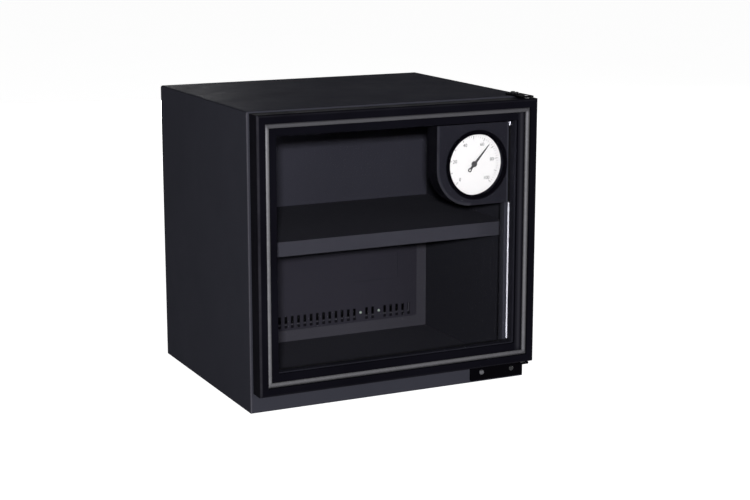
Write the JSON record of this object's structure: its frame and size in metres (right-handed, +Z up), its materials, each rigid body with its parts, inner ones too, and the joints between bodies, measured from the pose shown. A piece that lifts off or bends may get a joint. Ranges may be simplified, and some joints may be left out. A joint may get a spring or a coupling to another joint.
{
  "type": "camera dry cabinet",
  "caption": "Table-top camera dry cabinet: sheet-steel body, framed glass door hinged at the right, shelf, slotted dry-unit cover and dial hygrometer.",
  "frame": {"origin": "middle of the footprint, on the surface that the feet stand on", "axes": "+X to the right as seen from the front, +Y to the back, +Z up; the glass door faces -Y"},
  "size_m": [0.33, 0.2912, 0.3236],
  "materials": {
    "body_paint": "semi-gloss powder coat",
    "inner_paint": "semi-gloss powder coat",
    "hinge_black": "satin black",
    "door_frame": "black, satin to gloss",
    "silver_trim": "satin silver",
    "clear_glass": "clear",
    "clear_window": "clear",
    "black_plastic": "matt black",
    "gasket_rubber": "glossy lip",
    "foot_rubber": "matt",
    "magnet": "matt",
    "screw_steel": "bright plated",
    "white_plastic": "natural",
    "dial_white": "matt white",
    "needle_black": "matt black",
    "brass": "turned",
    "lamp": "translucent lens",
    "granules": "pressed granules",
    "heater_alloy": "plain",
    "board": "coated board",
    "wire_red": "plain insulation"
  },
  "bodies": {
    "cabinet": {"outer_shell": "body_paint", "front_frame": "body_paint", "base_panel": "inner_paint", "inner_back_panel": "inner_paint", "back_panel": "body_paint", "back_panel_screws": "screw_steel", "shelf": "inner_paint", "shelf_rail_left": "inner_paint", "shelf_rail_right": "inner_paint", "foot_front_left": "foot_rubber", "foot_front_right": "foot_rubber", "foot_back_left": "foot_rubber", "foot_back_right": "foot_rubber", "foot_screws": "screw_steel", "hinge_plate_top": "hinge_black", "hinge_plate_bottom": "hinge_black", "hinge_pin_top": "screw_steel", "hinge_pin_bottom": "screw_steel", "hinge_screws": "screw_steel", "hygrometer_housing": "black_plastic", "hygrometer_case": "black_plastic", "hygrometer_dial": "dial_white", "hygrometer_window": "clear_window", "hygrometer_movement": "brass", "dry_unit_cover": "inner_paint", "indicator_lamps": "lamp", "dry_unit_case": "black_plastic", "dry_unit_screws": "screw_steel", "desiccant_cartridge": "white_plastic", "desiccant_granules": "granules", "heater_plate": "heater_alloy", "circuit_board": "board", "supply_wires": "wire_red", "power_inlet": "black_plastic", "inlet_nut": "screw_steel", "rear_vent_grille": "black_plastic"},
    "door": {"door_stile_left": "door_frame", "door_stile_right": "door_frame", "door_rail_top": "door_frame", "door_rail_bottom": "door_frame", "door_trim": "silver_trim", "door_glass": "clear_glass", "glazing_bead": "black_plastic", "door_gasket": "gasket_rubber", "gasket_magnets": "magnet", "hinge_bush_top": "white_plastic", "hinge_bush_bottom": "white_plastic"},
    "pointer": {"hygrometer_needle": "needle_black"},
    "inner_flap": {"inner_shutter": "white_plastic"},
    "outer_flap": {"outer_shutter": "white_plastic"}
  },
  "joints": [
    {"name": "door_hinge", "type": "hinge", "parent": "cabinet", "child": "door", "pos_m": [0.155, -0.13465, 0.16], "axis": [0, 0, 1], "range_deg": [0, 120]},
    {"name": "pointer_turn", "type": "hinge", "parent": "cabinet", "child": "pointer", "pos_m": [0.1008, -0.12, 0.2478], "axis": [0, 1, 0], "range_deg": [-176.6, 93.4], "stiffness_Nm_per_rad": 0.0005},
    {"name": "outer_shutter_swing", "type": "hinge", "parent": "cabinet", "child": "outer_flap", "pos_m": [0, 0.13875, 0.0597], "axis": [-1, 0, 0], "range_deg": [0, 45], "stiffness_Nm_per_rad": 0.01},
    {"name": "inner_shutter_swing", "type": "hinge", "parent": "cabinet", "child": "inner_flap", "pos_m": [0, 0.10455, 0.1257], "axis": [1, 0, 0], "range_deg": [-45, 0]}
  ],
  "couplings": [
    {"joint": "inner_shutter_swing", "follows": "outer_shutter_swing", "ratio": -1}
  ]
}
